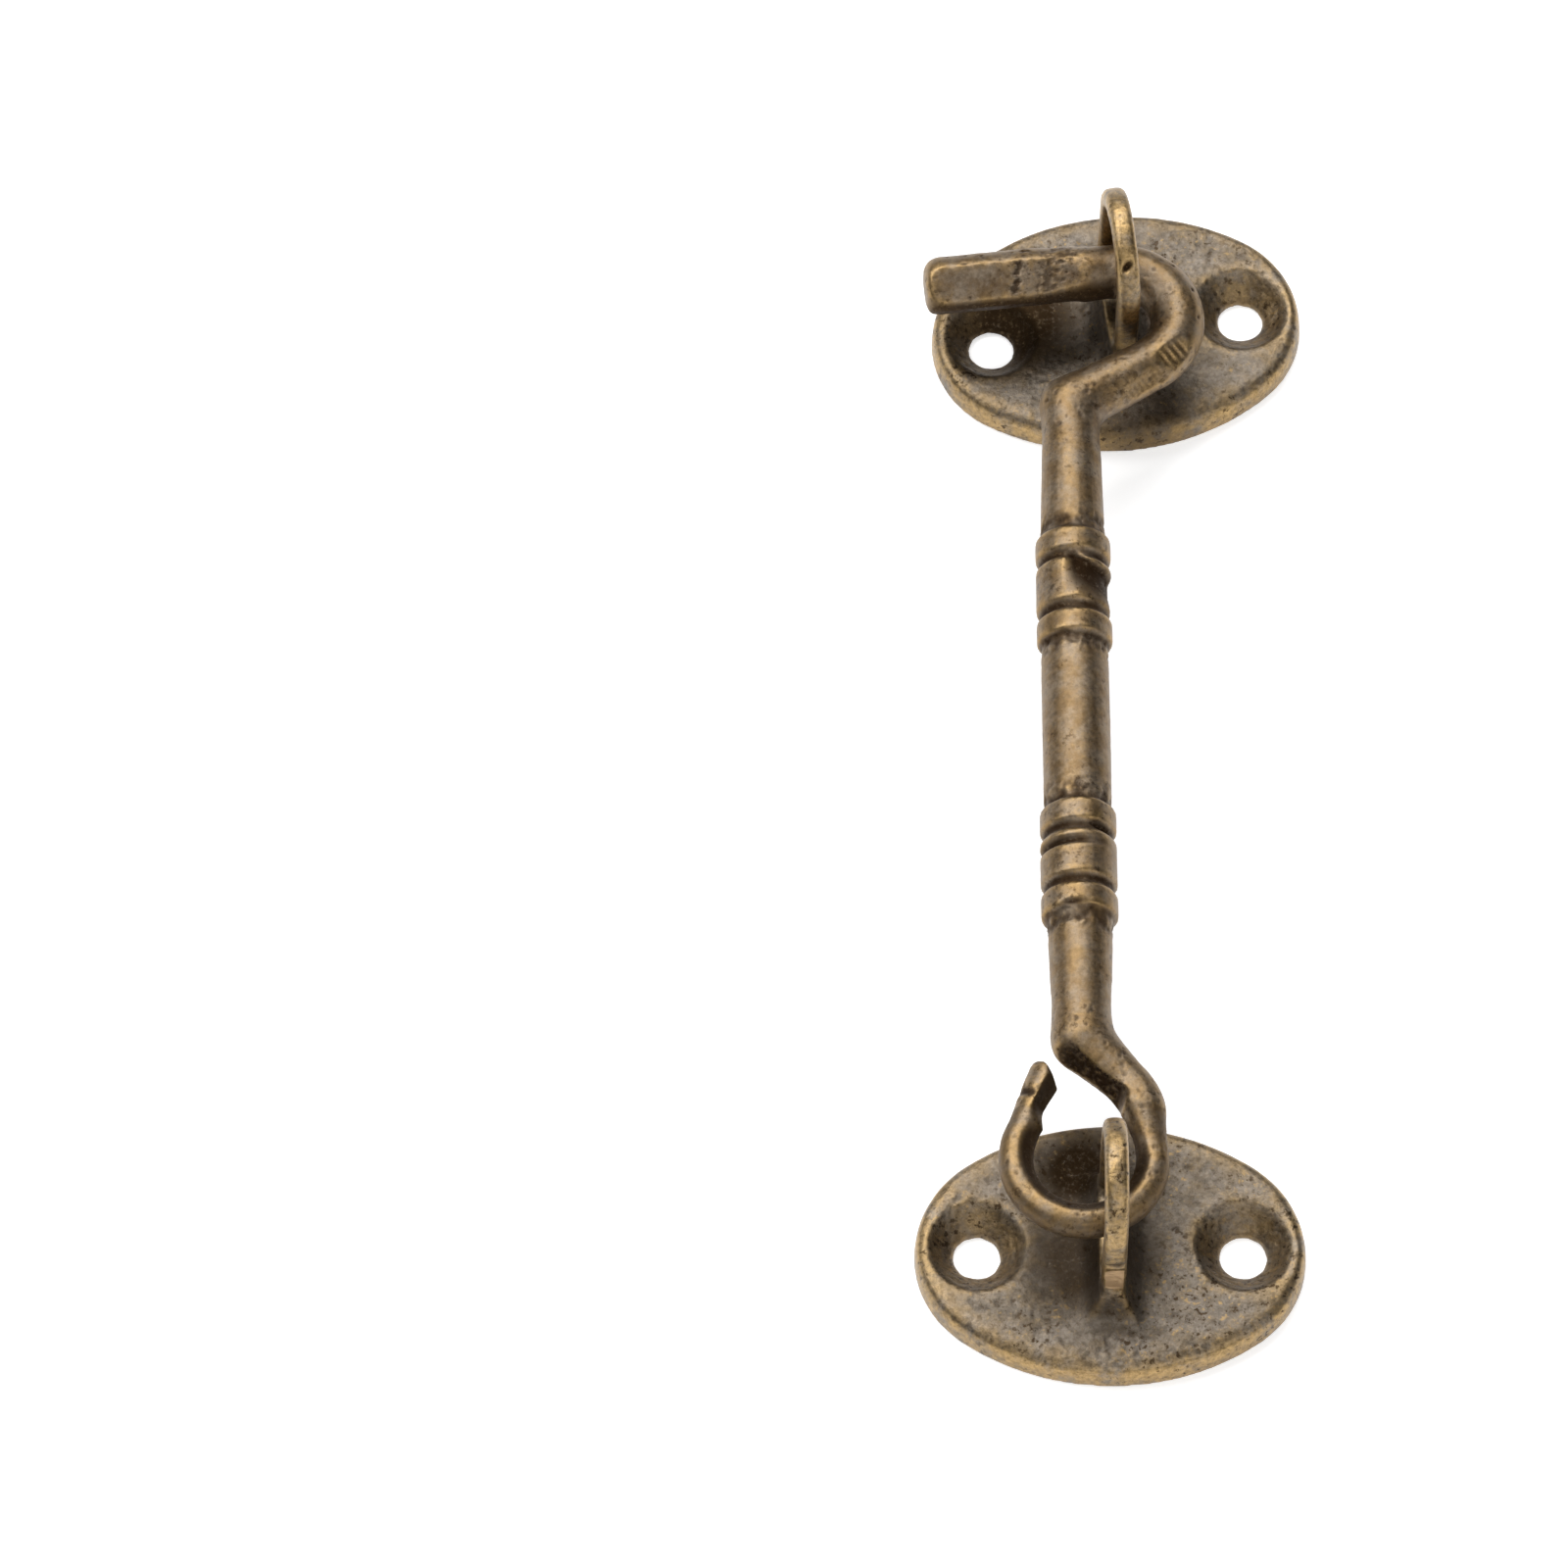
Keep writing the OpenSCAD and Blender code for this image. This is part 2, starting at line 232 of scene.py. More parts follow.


# %% [markdown]
# ## The two plates
# Each plate was cast in sand with its staple in one piece. The face is rough and a little uneven, the
# rim is rubbed round, and the flared foot of the staple runs softly into the face. The part of a plate
# that lies under the hook gets painted shade: spots darkened in its colour where the hook shades it. Both
# plates come from one pattern, so one function works on both, in the plate's own directions.

# %% Wear on a plate
mounts = {mount["name"]: mount for mount in frame["record"]["mounts"]}
hole_spacing = mounts["hinge_screws"]["dims"]["spacing_x_mm"]
sink_radius = 4.8
plate_face = 3.2
plate_half = (18.75, 13.5)
keeper_turn = math.radians(7.5)
back_edge = 0.5
flat_top, foot_top, staple_starts, shade_top = (plate_face + height for height in (0.6, 1.5, 2, 2.5))
rim_starts, rubbed_starts = 0.86, 0.89
slow_depth, quick_depth, grain_depth, sink_depth = 0.12, 0.04, 0.15, 0.1
most_rubbed = 0.75


def screw_places(centre, turn):
    """The two screw holes of a plate, in millimetres."""
    half = np.array([math.cos(turn), math.sin(turn), 0]) * hole_spacing / 2
    return [centre - half, centre + half]


def wear_plate(piece, centre, turn, seed, shades):
    """Softens and roughens a plate, and gives how rubbed each point is and how dark, from tarnish and painted
    shade.

    Each shade is a spot of painted shade: the x and y of its middle, its reach and how dark it is there.
    """
    soften(piece, 6)
    points = points_of(piece)
    to_local = np.array([[math.cos(turn), -math.sin(turn)], [math.sin(turn), math.cos(turn)]])
    local = (points - centre)[:, :2] @ to_local
    outer = np.hypot(local[:, 0] / plate_half[0], local[:, 1] / plate_half[1])
    above_back = points[:, 2] > back_edge
    soften(piece, 16, (points[:, 2] < foot_top) & above_back)
    soften(piece, 16, (outer > rim_starts) & above_back)
    soften(piece, 18, points[:, 2] > staple_starts)
    points, outward = points_of(piece), normals_of(piece)
    face = np.clip((points[:, 2] - 0.6) / 1.5, 0, 1)
    flat_face = face * np.clip(outward[:, 2] * 3 - 2, 0, 1) * (points[:, 2] < flat_top)
    clusters = np.clip(5 * ripple(points + seed, 5, 2) - 2.2, 0.25, 1)
    grains = ripple(points - seed, 0.55, 2) * clusters * flat_face
    depth = face * slow_depth * ripple(points + seed, 8, 2) + face * quick_depth * ripple(points, 1.2, 2)
    depth = depth + grain_depth * grains
    points -= outward * depth[:, None]
    rubbed = np.clip(10 * (outer - rubbed_starts), 0, most_rubbed) * np.clip(2.2 - 2.2 * outward[:, 2], 0, 1)
    on_staple = np.clip((points[:, 2] - plate_face) / 3 - 0.7, 0, 1)
    rubbed = np.maximum(rubbed, most_rubbed * on_staple)
    tarnish_and_shade = np.zeros(len(points))
    # Painted shade: each spot darkens the plate round it, most in its middle.
    for x, y, reach, darkest in shades:
        from_shade = np.hypot(points[:, 0] - x, points[:, 1] - y)
        shade = darkest * np.clip(1.6 - 1.6 * from_shade / reach, 0, 1)
        tarnish_and_shade = np.maximum(tarnish_and_shade, shade * (points[:, 2] < shade_top))
    at_foot = np.clip(1 - np.abs(points[:, 2] - plate_face - 1) / 1.4, 0, 1)
    tarnish_and_shade = np.maximum(tarnish_and_shade, 0.6 * at_foot)
    for hole in screw_places(centre, turn):
        away = np.hypot(points[:, 0] - hole[0], points[:, 1] - hole[1])
        sunk = np.clip((sink_radius + 0.2 - away) / 1.2, 0, 1)
        tarnish_and_shade = np.maximum(tarnish_and_shade, 0.3 * sunk)
        rubbed = np.maximum(rubbed * (1 - sunk), 0.5 * sunk)
        points -= outward * (sink_depth * sunk * ripple(points + seed, 0.7, 2))[:, None]
    points[:, 2] = np.maximum(points[:, 2], 0)
    put_points(piece, points)
    return rubbed, tarnish_and_shade


hinge_centre = np.array(mounts["hinge_screws"]["pos_m"]) / MM
keeper_centre = np.array(mounts["keeper_screws"]["pos_m"]) / MM
hinge_seed, keeper_seed = np.array([11.0, 3.0, 5.0]), np.array([47.0, 29.0, 17.0])
# Spots of painted shade where the hook shades the plates: under and before the eye, under the arm and under the
# slope.
shade_under_eye, shade_before_eye = (-3.0, 8.0, 6.0, 1.0), (-2.0, -1.5, 9.0, 0.8)
shade_under_arm, shade_under_slope = (-7.5, 105.5, 9.0, 1.0), (4.5, 94.0, 7.0, 0.6)
hinge_rubbed, hinge_tarnish_and_shade = wear_plate(
    hinge_casting, hinge_centre, 0, hinge_seed, (shade_under_eye, shade_before_eye))
keeper_rubbed, keeper_tarnish_and_shade = wear_plate(
    keeper_casting, keeper_centre, keeper_turn, keeper_seed, (shade_under_arm, shade_under_slope))
print("plates at", hinge_centre.round(1).tolist(), "and", keeper_centre.round(1).tolist(), "mm")

# %% [markdown]
# The hinge plate's staple has a bright patch near its foot, where a file cut through the dark skin,
# with a crease above it. The keeper's staple has one deep blow-hole. These are single marks, so each
# is one call of a tool at the place where it is seen.

# %% Single marks on the staples
hinge_points = points_of(hinge_casting)
filed_patch = file_flat(hinge_points, centre=(0.3, -6.7, 9.2), outward=(0, -1, 0), reach=2.8)
crease = dent(hinge_points, centre=(0.3, -7.0, 12.3), along=(1, 0, 0), inward=(0, 1, 0),
              length=1.2, width=0.5, depth=0.3)
put_points(hinge_casting, hinge_points)
keeper_points = points_of(keeper_casting)
blow_hole = dent(keeper_points, centre=(2.9, 100.2, 20.2), along=(0.5, 0.5, 0.7), inward=(0, 0.67, -0.74),
                 length=0.9, width=0.5, depth=0.6)
put_points(keeper_casting, keeper_points)
staple_marks = (filed_patch, crease, blow_hole)
print("points in patch, crease and hole:", [int((mark > 0).sum()) for mark in staple_marks])

# %% [markdown]
# ## The hook
# The hook is one bar. Its collars were turned, so they stay fairly sharp, while the eye, the throat and
# the bend were beaten round and are soft. The softening is therefore done by place: a few rounds
# everywhere, more on both bent ends, and most at the three corners, where one run of the bar meets the
# next. There it is done in three shrinking circles, so that it fades out.

# %% Soft bends
hook_points = points_of(hook_casting)
hook_swing = frame["joints"][0]
eye_middle = np.array(hook_swing["pos_m"]) / MM
ring_end = eye_middle[1] + 6
neck_end = eye_middle[1] + 15
throat_start = eye_middle[1] + 81
bent = (hook_points[:, 1] < neck_end) | (hook_points[:, 1] > throat_start)
soften(hook_casting, 2)
soften(hook_casting, 12, bent)
soften(hook_casting, 20, hook_points[:, 1] < ring_end)
neck_corner, elbow_corner, throat_corner = (-2.65, 18.3, 10.5), (3.6, 11.2, 10.5), (-2.65, 90.2, 10.5)
for corner in (neck_corner, elbow_corner, throat_corner):
    from_corner = np.linalg.norm(hook_points - np.array(corner), axis=1)
    for reach in (7.0, 6.0, 5.0):
        soften(hook_casting, 25, from_corner < reach)
print("softened", int(bent.sum()), "points of the bends")

# %% [markdown]
# Marks of the bench and the mould come next. One group of collars was cut by a slip of the tool: a chip with
# a sharp, ragged lip, which gets shallower away from it. The other has a second groove that runs out on one
# side, and two dents. The arm carries two dark, torn nicks, each a ragged path across its flat, and the nib a
# crease. Each pattern of ripples is shifted by its own amount, so that no two of them fall together.

# %% Gouges and nicks
hook_points = points_of(hook_casting)
hook_outward = normals_of(hook_casting)
first_collar = eye_middle[1] + 31.9
second_collar = eye_middle[1] + 62.7
collar_half = 6.9
around = np.stack([hook_points[:, 0] - eye_middle[0], hook_points[:, 2] - eye_middle[2]], axis=1)
radius = np.maximum(np.linalg.norm(around, axis=1), 0.1)
straight = (hook_points[:, 1] > neck_end) & (hook_points[:, 1] < throat_start)


def cut_in(depth):
    """Moves the points of the shank towards its middle line, each by its own depth."""
    inward = -around / radius[:, None]
    hook_points[:, 0] += depth * inward[:, 0]
    hook_points[:, 2] += depth * inward[:, 1]


def turn_groove(place, half_width, depth, side):
    """Cuts a turned groove round the shank, fading out towards the +X side by the given share."""
    fall = np.clip(1 - ((hook_points[:, 1] - place) / half_width) ** 2, 0, 1) * straight
    fade = np.clip(0.6 - side * around[:, 0] / radius, 0, 1)
    cut_in(fall * fade * depth)
    return fall * fade


def chip(lip, side, depth, reach):
    """Chips the shank below a ragged lip that falls towards the +X side, deepest at the lip."""
    angle = np.arctan2(around[:, 0], around[:, 1])
    lip_fall, lip_raggedness = 1.3, 0.4
    edge = lip - lip_fall * np.clip(angle / 0.6, 0, 1) + lip_raggedness * ripple(hook_points, 1.4, 2)
    below = edge - hook_points[:, 1]
    far_side = 2.0
    window = np.clip((angle - side) / 0.35, 0, 1) * np.clip((far_side - angle) / 0.4, 0, 1) * straight
    cut = np.clip(1 - below / reach, 0, 1) * np.clip(below / 0.5, 0, 1) * window
    cut_in(cut * depth)
    return np.clip(2 * cut, 0, 1)


second_groove = turn_groove(first_collar + 1.2, half_width=0.5, depth=0.55, side=0.7)
collar_chip = chip(second_collar + 3.0, side=-0.3, depth=0.9, reach=5.0)
deep_dent = dent(hook_points, centre=(-0.6, 40.4, 12.9), along=(0.8, -0.35, -0.5), inward=(-0.6, 0, -1),
                 length=1.7, width=0.7, depth=0.5)
shallow_dent = dent(hook_points, centre=(-3.4, 31.6, 14.1), along=(1, 0.1, 0), inward=(0, 0.3, -1),
                    length=1.8, width=0.5, depth=0.25)
nib_crease = dent(hook_points, centre=(-8.3, 12.1, 11.95), along=(1, -0.4, -0.2), inward=(0.65, -0.2, -0.74),
                  length=1.6, width=0.35, depth=0.3)
marks_and_shade = [second_groove, collar_chip, deep_dent, shallow_dent, nib_crease]


def tear(path, width, depth, inward):
    """Tears a ragged groove along a path of places, and gives how deep it is at each point."""
    nearest = np.full(len(hook_points), np.inf)
    for first, second in zip(path[:-1], path[1:]):
        first, run = np.array(first), np.array(second) - np.array(first)
        share = np.clip((hook_points - first) @ run / (run @ run), 0, 1)
        nearest = np.minimum(nearest, np.linalg.norm(hook_points - first - np.outer(share, run), axis=1))
    ragged = ripple(hook_points + tear_shift, 0.5, 3) - 0.65
    torn = np.clip(2 * (1 - nearest / width) + 5 * ragged, 0, 1)
    hook_points[:] = hook_points + np.outer(torn * depth, unit(inward))
    return torn


tear_shift = 3.0
into_arm = (-0.05, 0.47, -0.88)
narrow_nick = ((-7.0, 107.2, 13.0), (-7.5, 105.0, 13.4), (-8.0, 102.6, 12.2))
broad_nick = ((-3.2, 106.8, 13.2), (-4.4, 105.2, 13.3), (-4.6, 103.6, 12.6))
marks_and_shade.append(0.8 * tear(narrow_nick, width=0.6, depth=0.2, inward=into_arm))
marks_and_shade.append(0.6 * tear(broad_nick, width=1.7, depth=0.14, inward=into_arm))
print(len(marks_and_shade), "marks so far")

# %% [markdown]
# The inside of the eye was opened with a round file, held at a slant. That left a sloping inner face
# and a bright crest. The slope is a cone about the middle of the eye: each point that stands out of it is
# moved back to it, at right angles. It fades out towards the neck. The slope and the walls of the eye are
# darkened with painted shade below the crest, and the edges of the slope are softened afterwards.

# %% Filed inside of the eye
inner_edge, slope_foot = 4.5, 0.3
slope_in, slope_up = -0.64, 0.77
eye_reach, eye_end = 9, 5
inner_wall_ends, outer_wall_starts = 5.7, 7.1
from_eye = hook_points - eye_middle
eye_radius = np.maximum(np.hypot(from_eye[:, 0], from_eye[:, 1]), 0.1)
in_eye = (eye_radius < eye_reach) & (from_eye[:, 1] < eye_end)
proud = np.clip((eye_radius - inner_edge) * slope_in + (from_eye[:, 2] - slope_foot) * slope_up, 0, None)
proud *= np.clip((eye_end - from_eye[:, 1]) / 2, 0, 1) * (eye_radius < eye_reach)
hook_points[:, :2] -= from_eye[:, :2] * (proud * slope_in / eye_radius)[:, None]
hook_points[:, 2] -= proud * slope_up
# Painted shade: the filed slope and both walls of the eye are darkened, below the bright crest.
slope_shade = np.clip(4 * proud, 0, 1)
inner_wall_shade = np.clip((inner_wall_ends - eye_radius) / 0.5, 0, 1) * in_eye
outer_wall_shade = np.clip((eye_radius - outer_wall_starts) / 0.8, 0, 1) * in_eye
marks_and_shade.append(np.max([0.85 * slope_shade, 0.8 * inner_wall_shade, 0.4 * outer_wall_shade], axis=0))
put_points(hook_casting, hook_points)
soften(hook_casting, 10, in_eye)
hook_points = points_of(hook_casting)
print("the file took off up to", round(float(proud.max()), 2), "mm inside the eye")

# %% [markdown]
# Some places on the hook were dressed flat: both inner sides of the nib, the underside of the neck, where
# the eye was closed, a small facet on the outside of the bend, and a long one down the slope. A facet is a
# plane. The two on the bend and the slope also show the strokes of a coarse file, each a row of thin hollows.
# The one under the neck was broken rather than filed, and its grain is open; it is darkened with painted
# shadow, apart from its open grain. The nib lies close to the neck, so a plane between the two keeps each
# facet on its own side.

# %% File facets
bend_side = unit((0.42, -0.42, 0.8))
slope_side = unit((0.48, -0.72, 0.5))
neck_side = unit((-0.6, -0.7, 0.37))
bend_middle = np.array((7.65, 95.08, 12.52))
slope_middle = np.array((4.65, 91.9, 11.75))
bend_row, bend_stroke = np.array((0.79, 0.6, -0.14)), (0.75, -0.6, -0.71)
slope_row, slope_stroke = np.array((0.75, 0.66, 0.25)), (-0.51, 0.26, 0.86)
nib_to_neck, nib_ends = np.array((0.681, 0.733, 0)), 7.75
nib_starts, tip_starts = 11, 14.8
broken_depth, broken_shift = 0.35, 9.0
on_nib = hook_points @ nib_to_neck < nib_ends
neck_facet = file_flat(hook_points, centre=(-1.73, 13.98, 11.07), outward=neck_side, reach=4.6, where=~on_nib)
bend_facet = file_flat(hook_points, centre=bend_middle, outward=bend_side, reach=2.6)
slope_facet = file_flat(hook_points, centre=slope_middle, outward=slope_side, reach=3.2)
nib_top = file_flat(
    hook_points, centre=(-5.33, 12.9, 11.16), outward=(0.72, -0.42, 0.55), reach=4.5, where=on_nib)
nib_bottom = file_flat(
    hook_points, centre=(-5.48, 12.98, 9.95), outward=(0.72, -0.42, -0.55), reach=4.5, where=on_nib)
open_grain = ripple(hook_points + broken_shift, 0.5, 2)
hook_points -= np.outer(broken_depth * neck_facet * open_grain, neck_side)
for step in np.linspace(-1.2, 1.2, 4):
    marks_and_shade.append(0.7 * dent(hook_points, bend_middle + step * bend_row, along=bend_stroke, inward=-bend_side,
                            length=1.2, width=0.22, depth=0.2))
for step in np.linspace(-2.0, 2.0, 8):
    marks_and_shade.append(0.25 * dent(hook_points, slope_middle + step * slope_row, along=slope_stroke,
                             inward=-slope_side, length=1.1, width=0.2, depth=0.08))
# Painted shadow on the broken face under the neck; its open grain is left out of it.
marks_and_shade.append(neck_facet * np.clip(3.2 - 4.2 * open_grain, 0, 1))
nib_tip = np.clip(hook_points[:, 1] - tip_starts, 0, 0.9) * on_nib
marks_and_shade.append(np.max([0.7 * nib_top, 0.7 * nib_bottom, nib_tip], axis=0))
put_points(hook_casting, hook_points)
soften(hook_casting, 3, on_nib & (hook_points[:, 1] > nib_starts))
hook_points = points_of(hook_casting)
facets = (neck_facet, bend_facet, slope_facet, nib_top, nib_bottom)
print("facets cover", [int((facet > 0).sum()) for facet in facets], "points")

hook_tarnish_and_shade = np.max(marks_and_shade, axis=0)
print("marks cover", int((hook_tarnish_and_shade > 0.1).sum()), "points")

# %% [markdown]
# The bar itself was never quite round: it was dressed by hand along its length. A slow ripple takes up to
# a tenth of a millimetre off it, stretched along the bar, and a quicker one leaves the skin of the mould.
# On the bent ends a few pores are left open, and beside each collar the tool left a rough, dark crust.
# The underside of the bends, and the arm below its flat, are darkened with painted shade.

# %% Uneven skin of the bar
slow_skin, quick_skin, pore_depth, crust_depth = 0.09, 0.03, 0.5, 0.35
skin_shift, pore_shift, crust_shift = 31.0, -13.0, 5.0
arm_starts, arm_ends = 101, 2
stretched = hook_points * np.array([1, 0.35, 1])
skin = slow_skin * ripple(stretched, 3.2, 2) + quick_skin * ripple(hook_points + skin_shift, 0.9, 3)
pores = np.clip(ripple(hook_points + pore_shift, 0.6, 2) - 0.72, 0, 1) * bent
crust = np.zeros(len(hook_points))
for collar in (first_collar, second_collar):
    past_end = np.abs(hook_points[:, 1] - collar) - collar_half
    crust = np.maximum(crust, np.clip(1 - np.abs(past_end - 0.2) / 1.4, 0, 1) * straight)
crust *= np.clip(3 * ripple(hook_points + crust_shift, 1.2, 3) - 1.0, 0, 1)
taken_off = skin + pore_depth * pores + crust_depth * crust * ripple(hook_points, 0.6, 2)
hook_points -= hook_outward * taken_off[:, None]
# Painted shade: points facing down on the bent ends, and the side of the arm below its flat, are darkened.
painted_underside_shade = np.clip(-1.5 * hook_outward[:, 2], 0, 0.7) * bent
under_flat = np.array((0, -0.88, -0.47))
on_arm = (hook_points[:, 1] > arm_starts) & (hook_points[:, 0] < arm_ends)
painted_underside_shade = np.maximum(painted_underside_shade, np.clip(2 * hook_outward @ under_flat - 0.5, 0, 0.9) * on_arm)
put_points(hook_casting, hook_points)
print("skin takes off", round(float(skin.mean()), 3), "mm on average")

# %% [markdown]
# ## Rubbed ridges, dark hollows and painted shade
# With the shapes done, the relief of each casting is measured twice: finely, for edges, and broadly, for
# the large hollows round the feet and between the collars. The marks made above are dark as well, and so
# is the painted shade. Only the filed patch is rubbed all the way, to fresh brass.

# %% Rubbed, tarnish and painted shade
bright_edges, bright_swells = 7, 0.35
dark_grooves, dark_hollows = 11, 1.8


def keep_finish(piece, rubbed, tarnish_and_shade):
    """Stores the rubbed attribute of a piece, and the attribute of tarnish and painted shade."""
    fine, broad = relief(piece, near=4, far=24), relief(piece, near=8, far=110)
    ridges = np.clip(bright_edges * fine + bright_swells * np.clip(broad, 0, None), 0, most_rubbed)
    hollows = np.maximum(-dark_grooves * fine, -dark_hollows * broad)
    keep_attribute(piece, "rubbed", np.maximum(rubbed, ridges))
    keep_attribute(piece, "tarnish_and_shade", np.maximum(tarnish_and_shade, hollows))


keep_finish(hinge_casting, np.maximum(hinge_rubbed, filed_patch), np.maximum(hinge_tarnish_and_shade, crease))
keep_finish(keeper_casting, keeper_rubbed, np.maximum(keeper_tarnish_and_shade, blow_hole))
neck_pores = neck_facet * np.clip(6 * open_grain - 3.6, 0, most_rubbed)
hook_rubbed = np.max([0.5 * slope_facet, 0.8 * bend_facet, neck_pores], axis=0)
keep_finish(hook_casting, hook_rubbed, np.max([hook_tarnish_and_shade, 3 * pores, 0.8 * crust, painted_underside_shade], axis=0))

# %% [markdown]
# ## The finish
# Aged brass is brass under a brown-black skin, rubbed back with a soft pad and lacquered. One node group
# makes it: it starts from the colour of the skin, mottles it, brings the brass out on ridges, darkens
# hollows and paints shade where the mesh asks for it, and strews the pits and bright grains of the sand
# mould. The plates and the hook use it with their own values, because the plates were left rough and grey
# and the hook was polished to olive brown.

# %% Node helpers
def add(tree, kind, inputs=None, **settings):
    """A new node with its settings, and its inputs set to a value or linked to a socket."""
    node = tree.nodes.new(kind)
    for name, value in settings.items():
        setattr(node, name, value)
    for name, value in (inputs or {}).items():
        if isinstance(value, bpy.types.NodeSocket):
            tree.links.new(value, node.inputs[name])
        else:
            node.inputs[name].default_value = value
    return node


def mix_colour(tree, share, first, second, blend="MIX"):
    """The colour between first and second by a share from 0 to 1."""
    node = add(tree, "ShaderNodeMix", {0: share, 6: first, 7: second}, data_type="RGBA", blend_type=blend)
    return node.outputs[2]


def ramp(tree, value, low, high, to_low=0.0, to_high=1.0):
    """The value stretched softly, so that low becomes to_low and high becomes to_high."""
    node = add(tree, "ShaderNodeMapRange", {"Value": value, "From Min": low, "From Max": high,
                                            "To Min": to_low, "To Max": to_high},
               interpolation_type="SMOOTHSTEP")
    return node.outputs["Result"]


def maths(tree, operation, first, second):
    """One sum on two values or sockets, kept between 0 and 1."""
    node = add(tree, "ShaderNodeMath", {0: first, 1: second}, operation=operation, use_clamp=True)
    return node.outputs[0]


def clouds(tree, place, scale, detail, roughness=0.5):
    """Cloudy noise between 0 and 1, with about as many clouds to a metre as the scale says."""
    node = add(tree, "ShaderNodeTexNoise",
               {"Vector": place, "Scale": scale, "Detail": detail, "Roughness": roughness})
    return node.outputs["Fac"]


# %% Aged brass group
colour_socket, value_socket = "NodeSocketColor", "NodeSocketFloat"
aged_brass = bpy.data.node_groups.new("aged_brass", "ShaderNodeTree")
for name, kind in (("Skin", colour_socket), ("Mottle", colour_socket), ("Hollow_and_shade", colour_socket),
                   ("Ridge", colour_socket), ("Fresh", colour_socket), ("Specks", value_socket),
                   ("Dull", value_socket)):
    aged_brass.interface.new_socket(name, in_out="INPUT", socket_type=kind)
for name, kind in (("Color", colour_socket), ("Roughness", value_socket), ("Height", value_socket)):
    aged_brass.interface.new_socket(name, in_out="OUTPUT", socket_type=kind)

tree = aged_brass
given = add(tree, "NodeGroupInput").outputs
place = add(tree, "ShaderNodeTexCoord").outputs["Object"]
rubbed = add(tree, "ShaderNodeAttribute", attribute_name="rubbed").outputs["Fac"]
# This attribute holds tarnish in hollows and also painted shade: under the hook on the plates, on the walls of the
# eye, on the broken face under the neck and on the undersides of the hook.
tarnish_and_shade = add(tree, "ShaderNodeAttribute", attribute_name="tarnish_and_shade").outputs["Fac"]
cloud = clouds(tree, place, scale=420, detail=8, roughness=0.65)
fine = clouds(tree, place, scale=2200, detail=6, roughness=0.7)
sand = clouds(tree, place, scale=1500, detail=5, roughness=0.65)
patches = clouds(tree, place, scale=170, detail=3)

colour = mix_colour(tree, ramp(tree, cloud, 0.35, 0.65), given["Skin"], given["Mottle"])
tint = maths(tree, "MULTIPLY", ramp(tree, cloud, 0.55, 0.75), 0.2)
bare = maths(tree, "MULTIPLY", rubbed, ramp(tree, cloud, 0.25, 0.6))
colour = mix_colour(tree, maths(tree, "MAXIMUM", tint, bare), colour, given["Ridge"])
speckle = ramp(tree, fine, 0.30, 0.70, 0.6, 1.4)
colour = mix_colour(tree, given["Specks"], colour, speckle, "MULTIPLY")
cluster = maths(tree, "MULTIPLY", ramp(tree, patches, 0.42, 0.58, 0.3, 1.0), given["Specks"])
gilt = maths(tree, "MULTIPLY", cluster, ramp(tree, sand, 0.57, 0.66))
pit = maths(tree, "MULTIPLY", cluster, ramp(tree, sand, 0.37, 0.45, 1.0, 0.0))
# Tarnish and painted shade both turn the colour towards the hollow colour.
dark = maths(tree, "MULTIPLY", tarnish_and_shade, ramp(tree, fine, 0.2, 0.5))
colour = mix_colour(tree, maths(tree, "MULTIPLY", gilt, 0.7), colour, given["Ridge"])
colour = mix_colour(tree, dark, colour, given["Hollow_and_shade"])
colour = mix_colour(tree, pit, colour, given["Hollow_and_shade"])
colour = mix_colour(tree, ramp(tree, rubbed, 0.85, 1.0), colour, given["Fresh"])

dull = maths(tree, "ADD", maths(tree, "MULTIPLY", dark, 0.25), maths(tree, "MULTIPLY", fine, 0.3))
rough = maths(tree, "SUBTRACT", maths(tree, "ADD", dull, given["Dull"]), maths(tree, "MULTIPLY", bare, 0.1))
grain = maths(tree, "ADD", maths(tree, "MULTIPLY", fine, 0.55), maths(tree, "MULTIPLY", sand, 0.45))
height = maths(tree, "MULTIPLY", grain, given["Specks"])
add(tree, "NodeGroupOutput", {"Color": colour, "Roughness": rough, "Height": height})
print("aged brass group has", len(tree.nodes), "nodes")


# %% The two finishes
fresh = (0.72, 0.50, 0.29)
grain_height = 0.12 * MM


def finish(slot, skin, mottle, hollow_and_shade, ridge, specks, dull, bump):
    """A material of aged brass with its own colours and roughness of grain."""
    material = bpy.data.materials.new(slot)
    material.use_nodes = True
    tree = material.node_tree
    shader = tree.nodes["Principled BSDF"]
    brass = add(tree, "ShaderNodeGroup", node_tree=aged_brass)
    colours = {"Skin": skin, "Mottle": mottle, "Hollow_and_shade": hollow_and_shade, "Ridge": ridge, "Fresh": fresh}
    for name, value in colours.items():
        brass.inputs[name].default_value = (*value, 1)
    brass.inputs["Specks"].default_value = specks
    brass.inputs["Dull"].default_value = dull
    bumps = add(tree, "ShaderNodeBump", {"Height": brass.outputs["Height"], "Strength": bump,
                                         "Distance": grain_height})
    tree.links.new(brass.outputs["Color"], shader.inputs["Base Color"])
    tree.links.new(brass.outputs["Roughness"], shader.inputs["Roughness"])
    tree.links.new(bumps.outputs["Normal"], shader.inputs["Normal"])
    shader.inputs["Metallic"].default_value = 1
    print("finish", slot)
    return material


